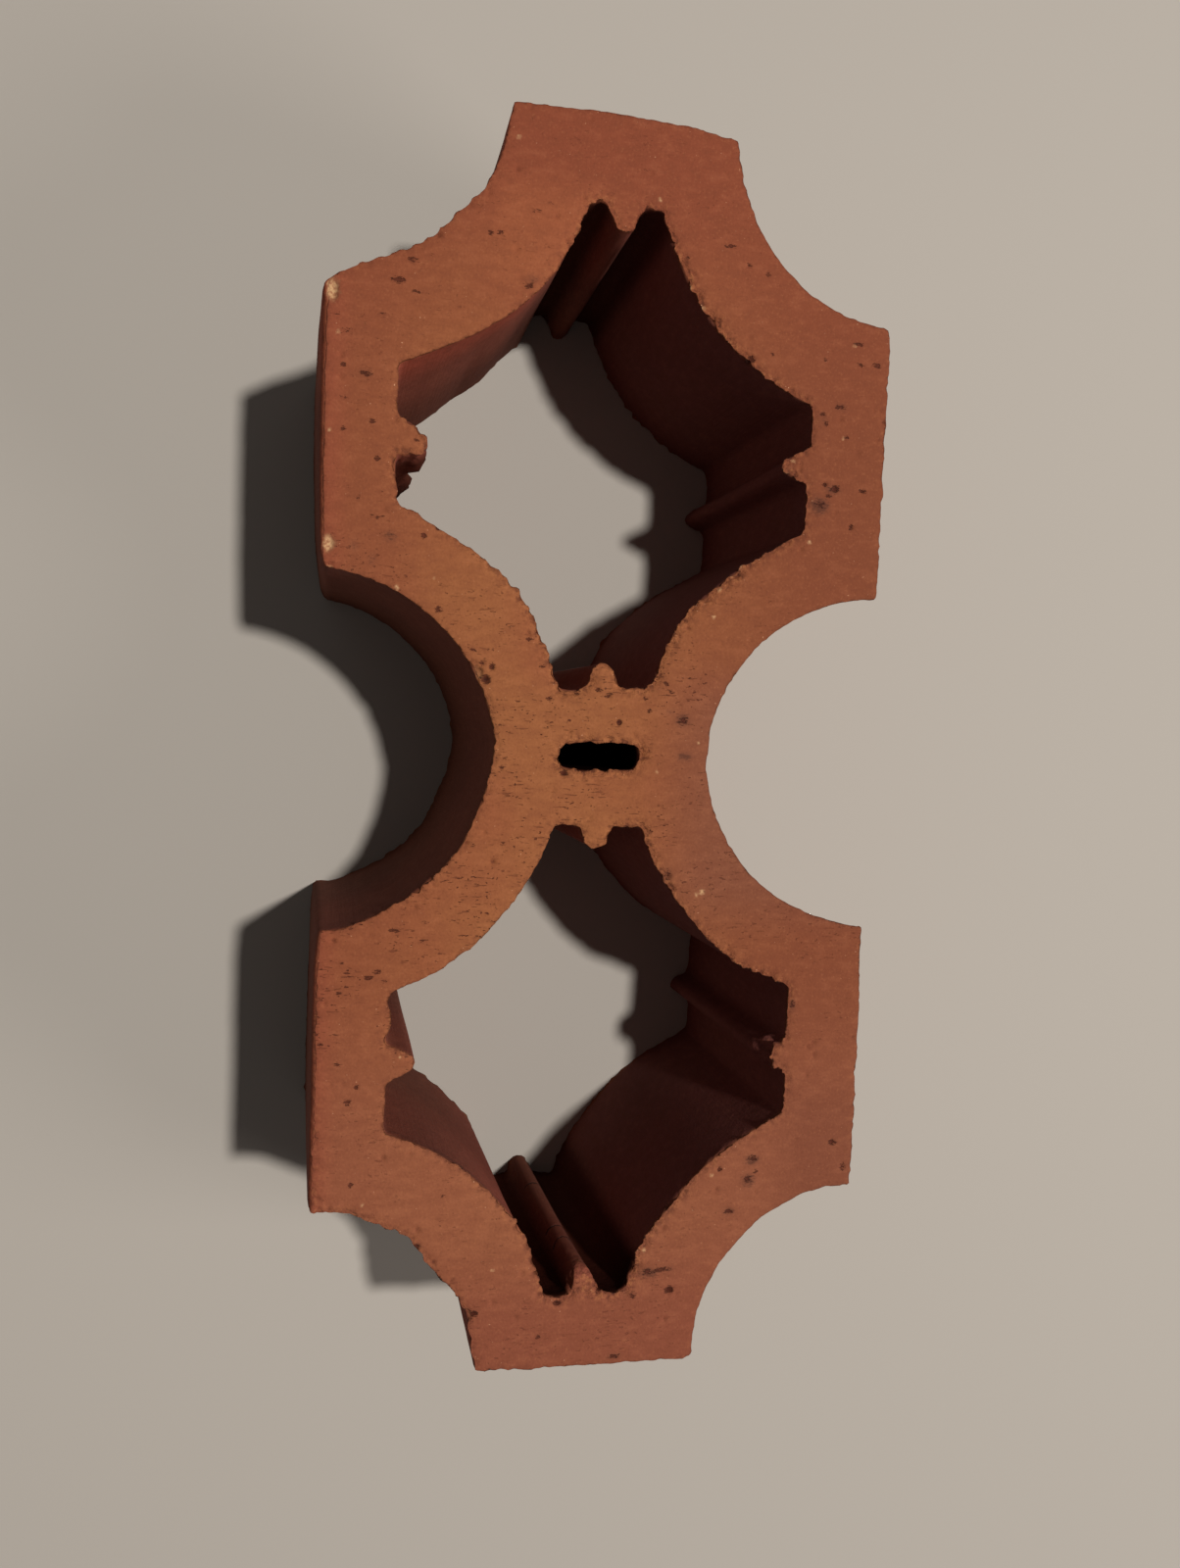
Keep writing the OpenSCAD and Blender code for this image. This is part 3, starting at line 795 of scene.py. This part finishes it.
class Shader:
    """A material's node tree, with short calls for the nodes that the clay needs."""

    def __init__(self, name):
        self.material = bpy.data.materials.new(name)
        self.material.use_nodes = True
        self.tree = self.material.node_tree
        self.tree.nodes.clear()
        self.place = self.stretched(self.add("TexCoord", {}).outputs["Object"], (1 / MM,) * 3)

    def add(self, kind, inputs, **settings):
        """A new node, whose inputs are numbers, colours or other nodes' sockets."""
        node = self.tree.nodes.new("ShaderNode" + kind)
        for key, value in settings.items():
            setattr(node, key, value)
        for name, value in inputs.items():
            if isinstance(value, bpy.types.NodeSocket):
                self.tree.links.new(value, node.inputs[name])
            else:
                node.inputs[name].default_value = value
        return node

    def stretched(self, vector, factors):
        return self.add("VectorMath", {0: vector, 1: factors}, operation="MULTIPLY").outputs["Vector"]

    def math(self, operation, first, second=0.0, third=0.0):
        return self.add("Math", {0: first, 1: second, 2: third}, operation=operation).outputs[0]

    def noise(self, size, detail=2.0, roughness=0.5):
        """Noise whose features have a size in millimetres, one number or one for each axis."""
        sizes = size if isinstance(size, tuple) else (size,) * 3
        place = self.stretched(self.place, tuple(1 / axis for axis in sizes))
        inputs = {"Vector": place, "Scale": 1.0, "Detail": detail, "Roughness": roughness}
        return self.add("TexNoise", inputs).outputs["Fac"]

    def band(self, value, low, high, start=0.0, end=1.0):
        """A smooth change from start to end while a value goes from low to high."""
        inputs = {"Value": value, "From Min": low, "From Max": high, "To Min": start, "To Max": end}
        return self.add("MapRange", inputs, interpolation_type="SMOOTHSTEP").outputs["Result"]

    def mix(self, share, first, second):
        """A mix of two colours, with a share of the second."""
        return self.add("Mix", {"Factor": share, "A": first, "B": second}, data_type="RGBA").outputs["Result"]

    def product(self, *factors):
        """The product of numbers, sockets, and rows of what band takes."""
        values = [self.band(*factor) if isinstance(factor, tuple) else factor for factor in factors]
        return functools.reduce(functools.partial(self.math, "MULTIPLY"), values)

    def tinted(self, colour, *rows):
        """A colour with others mixed in: rows of a screen colour and the factors of its share."""
        for screen_colour, *factors in rows:
            colour = self.mix(self.product(*factors), colour, srgb(*screen_colour))
        return colour

    def raised(self, relief, height, *factors):
        """A relief that stands higher by a height in millimetres times the factors."""
        return self.math("MULTIPLY_ADD", self.product(*factors), height, relief)

    def attribute(self, name):
        return self.add("Attribute", {}, attribute_name=name).outputs["Fac"]

    def axes(self):
        return self.add("SeparateXYZ", {0: self.place}).outputs

    def surface(self, colour, roughness, specular, **more):
        """Ends the tree in one surface and returns the material."""
        inputs = {"Base Color": colour, "Roughness": roughness, "Specular IOR Level": specular, **more}
        self.add("OutputMaterial", {"Surface": self.add("BsdfPrincipled", inputs).outputs["BSDF"]})
        return self.material


def fired(s, cut):
    """The clay's broad colours, more orange on the cut faces and more red on the walls, with painted light
    and shade on some walls.
    """
    x, y, z = s.axes()
    cloud = s.band(s.noise(26, 2), 0.35, 0.65)
    face = s.tinted(
        s.mix(cloud, srgb(151, 91, 53), srgb(146, 83, 50)),
        ((137, 75, 46), (x, -26, -50)),
        ((127, 67, 41), (x, -5, 46)),
        ((134, 67, 43), (y, 55, 118)),
        ((144, 84, 59), (y, -40, -80, 0, 0.6)),
        ((131, 68, 48), (y, -88, -116, 0, 0.8)),
        ((146, 72, 50), (x, -49, -55, 0, 0.6)),
        ((116, 72, 58), 0.4, (x, 6, 24), (y, 22, 8), (y, -38, -24)),
        ((106, 54, 36), 0.4, (x, 34, 46), (y, -60, -74)),
        ((166, 94, 58), 0.4, (x, -30, -20), (x, 4, -8), (y, 84, 94), (y, 112, 102)),
    )
    wall = s.tinted(
        s.mix(cloud, srgb(142, 73, 55), srgb(131, 66, 51)),
        # painted shade: walls darker and greyer towards the lower face
        ((116, 66, 48), (z, 50, 15, 0, 0.6)),
        # painted shade: a bluer tint on the right-hand cell walls, which lie in shade
        ((126, 72, 72), s.attribute("inner"), (x, -4, 16, 0, 0.6)),
        # painted light: the upper cell's left wall lighter, most of all near the upper rim
        ((166, 88, 68), 0.4, (x, -8, -20), (y, 62, 74)),
        ((204, 100, 76), (x, -8, -20), (y, 62, 74), (z, 46, 69, 0, 0.9)),
        ((168, 80, 62), (x, -4, -14), (y, -78, -96, 0, 0.7)),
        # painted light: a lighter band along the top of the left outer wall
        ((180, 80, 50), (x, -53.5, -55), (z, 66.5, 69.3)),
    )
    return s.mix(cut, wall, face)


def grained(s, colour):
    """Mottled clay with fine grains, and its first relief."""
    mottle = s.noise((3.4, 1.6, 3), 3)
    grain = s.noise(0.5, 2)
    colour = s.tinted(
        colour,
        ((116, 60, 38), (mottle, 0.35, 0.75, 0, 0.3)),
        ((168, 102, 70), (mottle, 0.5, 0.25, 0, 0.16)),
        ((104, 54, 36), (grain, 0.5, 0.8, 0, 0.3)),
        ((178, 112, 74), (grain, 0.45, 0.2, 0, 0.25)),
    )
    relief = s.math("MULTIPLY", s.noise(0.5, 3), 0.1)
    return colour, s.raised(relief, 0.12, s.noise((2.6, 1.2, 2), 2))


def crumbled(s, colour, relief):
    """Pale crumbs in torn clay, and painted shade in the gaps between them."""
    torn = s.attribute("torn")
    crumbs = s.noise(1.2, 3, 0.6)
    colour = s.tinted(
        colour,
        ((184, 116, 72), torn, (crumbs, 0.47, 0.38, 0, 0.6)),
        # painted shade in the gaps between the crumbs
        ((84, 40, 26), torn, (crumbs, 0.53, 0.62, 0, 0.9)),
    )
    return colour, s.raised(relief, -1.1, crumbs, torn)


def streaked(s, colour, relief, cut):
    """Streaks, dashes and flecks that the wire dragged, most of them about the web, and shade in the pits."""
    x, y, _ = s.axes()
    clouds = (s.noise(10, 1), 0.42, 0.6, 0.12, 1)
    lively = s.product(clouds, (x, 42, 5, 0.4, 1), (y, 50, 15, 0.25, 1), (y, -75, -42, 0.4, 1), cut)
    streak = s.product((s.noise((2.6, 0.5, 2.6), 2, 0.6), 0.62, 0.7), lively)
    dash = s.product((s.noise((1.7, 0.7, 1.7), 2, 0.6), 0.66, 0.71), lively)
    fleck = s.product((s.noise((1.0, 0.8, 1.0), 2), 0.68, 0.74), lively)
    colour = s.tinted(
        colour,
        ((98, 45, 27), streak, 0.5),
        ((84, 34, 18), dash, 0.9),
        ((80, 33, 20), fleck, 0.85),
        ((80, 37, 25), (s.attribute("hollow"), 0.15, 0.7), (s.noise(0.45, 1), 0.35, 0.6, 0.3, 0.8)),
    )
    relief = s.raised(relief, -0.15, streak)
    return colour, s.raised(relief, -0.25, s.math("MAXIMUM", dash, fleck))


def stained(s, colour, relief):
    """Brown smudges and dark marks with tattered edges."""
    mark, smudge = s.attribute("mark"), s.attribute("smudge")
    tatter = s.noise((0.9, 0.38, 0.9), 3, 0.7)
    blotch = s.product((s.math("MULTIPLY_ADD", tatter, 2.2, smudge), 1.55, 2.0), (smudge, 0, 0.4))
    core = s.product((s.math("MULTIPLY_ADD", tatter, 2.4, mark), 1.7, 2.1), (mark, 0.02, 0.35))
    colour = s.tinted(
        colour,
        ((108, 62, 43), (smudge, 0, 0.9, 0, 0.45)),
        ((74, 40, 28), blotch, 0.6),
        ((100, 48, 31), (mark, 0.1, 1, 0, 0.35)),
        ((82, 32, 17), core, 0.8),
        ((46, 18, 9), (mark, 1, 1.35, 0, 0.8)),
    )
    return colour, s.raised(relief, -0.3, core)


def chipped(s, colour, cut):
    """Painted shade along the rims, pale fresh breaks and single bright grains."""
    bare = s.math("MULTIPLY_ADD", s.attribute("torn"), 0.8, s.math("MULTIPLY", cut, 0.5))
    glint = s.product((s.noise(0.4, 0), 0.84, 0.9), bare)
    return s.tinted(
        colour,
        # painted shade: a thin dark line along the rims
        ((84, 40, 26), s.attribute("rim_shade"), 0.3),
        ((206, 162, 118), s.attribute("pale"), (s.noise(0.7, 2), 0.4, 0.6, 0.35, 1)),
        ((216, 160, 124), s.math("MINIMUM", glint, 0.8)),
    )


def cracked(s, colour, relief):
    """The cracks across the nose of the lower end's rib."""
    x, y, z = s.axes()
    off_middle = s.math("ABSOLUTE", s.math("ADD", x, 1.0))
    nose = s.product((y, -106.3, -105.2), (y, -95, -98), (off_middle, 4.5, 3.5))
    height = s.math("MULTIPLY_ADD", s.noise(3, 2), CRACK_WANDER, z)
    crack = 0.0
    for crack_height in CRACKS:
        off = s.math("ABSOLUTE", s.math("SUBTRACT", height, crack_height + CRACK_WANDER / 2))
        crack = s.math("MAXIMUM", s.band(off, 0.5, 0.15), crack)
    crack = s.product(crack, nose)
    return s.tinted(colour, ((46, 20, 13), crack, 0.8)), s.raised(relief, -0.6, crack)


def clay_material():
    """Fired clay: streaked and pitted where the wire cut it, and smoother where the die formed it."""
    s = Shader("fired_clay")
    cut = s.attribute("cut")
    painted_shade = s.attribute("painted_shade")
    colour, relief = grained(s, fired(s, cut))
    colour, relief = crumbled(s, colour, relief)
    colour, relief = streaked(s, colour, relief, cut)
    colour, relief = stained(s, colour, relief)
    colour = chipped(s, colour, cut)
    colour, relief = cracked(s, colour, relief)
    # Painted shade: near-black in the slot, in the gaps beside the end ribs and under the torn rib
    colour = s.tinted(colour, ((16, 8, 7), painted_shade))
    relief = s.raised(relief, 0.1, s.math("SUBTRACT", 1.0, cut), s.noise((0.7, 0.7, 60), 2))
    bump = s.add("Bump", {"Distance": MM, "Strength": 0.9, "Height": relief})
    return s.surface(colour, 0.88, s.band(painted_shade, 0, 0.8, 0.3, 0), Normal=bump.outputs["Normal"])


def placed(name, data):
    """A new object in the scene."""
    made = bpy.data.objects.new(name, data)
    bpy.context.scene.collection.objects.link(made)
    return made


def build_block():
    """The weathered block, which replaces the plain solid."""
    pits = np.vstack([PITS, random_pits(), rim_pits()])
    spots = np.vstack([np.array(table)[:, :2] for table in (pits, MARKS, SMUDGES, GRAINS)])
    points, faces, top_count, base_first = block_mesh(spots)
    depth = DEPTH - points[:, 2]
    hollow, rim_shade = np.zeros(len(points)), np.exp(-depth / 0.25)
    torn = np.maximum(0.5 * np.exp(-depth / 0.8), 0.7 * crumbly(points))
    hollow[:top_count], torn[:top_count], rim_shade[:top_count] = weather_top(points, top_count, pits)
    pale = chip_away(points)
    for x, y, radius in GRAINS:
        away = np.hypot(points[:, 0] - x, points[:, 1] - y) / (0.75 * radius)
        pale[:top_count] = np.maximum(pale, 0.8 * smooth_step(1.4 - away, 0, 0.7))[:top_count]
    from_cut = np.minimum(depth, points[:, 2])
    number = np.arange(len(points))
    on_face = (number < top_count) | (number >= base_first)
    values = {
        "cut": np.where(on_face, 1.0, smooth_step(1.6 - from_cut, 0, 1.2)),
        "torn": torn,
        # where a thin line of painted shade runs along the rims
        "rim_shade": rim_shade,
        "mark": marked(points, MARKS),
        "smudge": marked(points, SMUDGES),
        "hollow": hollow,
        "pale": pale,
        # painted shade in the slot, beside the end ribs and under the torn rib
        "painted_shade": painted_shade_share(points),
        "inner": in_cells(points),
    }
    mesh = bpy.data.meshes.new("weathered_block")
    mesh.from_pydata((points * MM).tolist(), [], faces)
    for name, value in values.items():
        mesh.attributes.new(name, "FLOAT", "POINT").data.foreach_set("value", value.astype(np.float32))
    mesh.polygons.foreach_set("use_smooth", [True] * len(mesh.polygons))
    mesh.update()
    mesh.materials.append(clay_material())
    block = placed("weathered_block", mesh)
    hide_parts(BLOCK)
    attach(block, "root")


def build_stage():
    """A plain pale table, which lights the block less than it shows, as in the photo's deep shadows."""
    reach = 3.0
    corners = [(x * reach, y * reach, 0) for x, y in ((-1, -1), (1, -1), (1, 1), (-1, 1))]
    mesh = bpy.data.meshes.new("table")
    mesh.from_pydata(corners, [], [(0, 1, 2, 3)])
    s = Shader("table")
    seen = s.add("LightPath", {}).outputs["Is Camera Ray"]
    colour = s.mix(seen, srgb(132, 127, 120), srgb(181, 174, 166))
    mesh.materials.append(s.surface(colour, 0.8, 0.1))
    table = placed("table", mesh)


def lamp(name, spot, size, energy, colour):
    """A round area lamp that points at the block."""
    light = bpy.data.lights.new(name, "AREA")
    light.shape = "DISK"
    light.size = size
    light.energy = energy
    light.color = colour
    lit = placed(name, light)
    lit.location = spot
    lit.rotation_euler = (-Vector(spot)).to_track_quat("-Z", "Y").to_euler()


def build_light():
    """One ceiling lamp up on the right, a broad weak fill low on the right, and a dim, even room."""
    lamp("ceiling_lamp", (0.375, 0.203, 1.6), 0.09, 21.0, (1.0, 0.97, 0.92))
    lamp("fill", (1.3, -0.5, 0.95), 0.7, 8.0, (1.0, 0.95, 0.9))
    world = bpy.data.worlds.new("room")
    bpy.context.scene.world = world
    world.use_nodes = True
    room = world.node_tree.nodes["Background"]
    room.inputs["Color"].default_value = (1.0, 0.97, 0.94, 1)
    room.inputs["Strength"].default_value = 0.09


def build_camera():
    """Hand-held above the block's left side, looking almost straight down."""
    camera = bpy.data.cameras.new("camera")
    camera.sensor_width = 36.0
    camera.lens = 28.125
    camera.clip_start = 0.01
    held = placed("camera", camera)
    held.location = (-0.0537, 0.0065, 0.3033)
    held.rotation_euler = [math.radians(angle) for angle in (-3.331, -12.159, 2.006)]
    bpy.context.scene.camera = held


build_camera()
build_light()
build_stage()
build_block()
bpy.context.scene.view_settings.view_transform = "Standard"
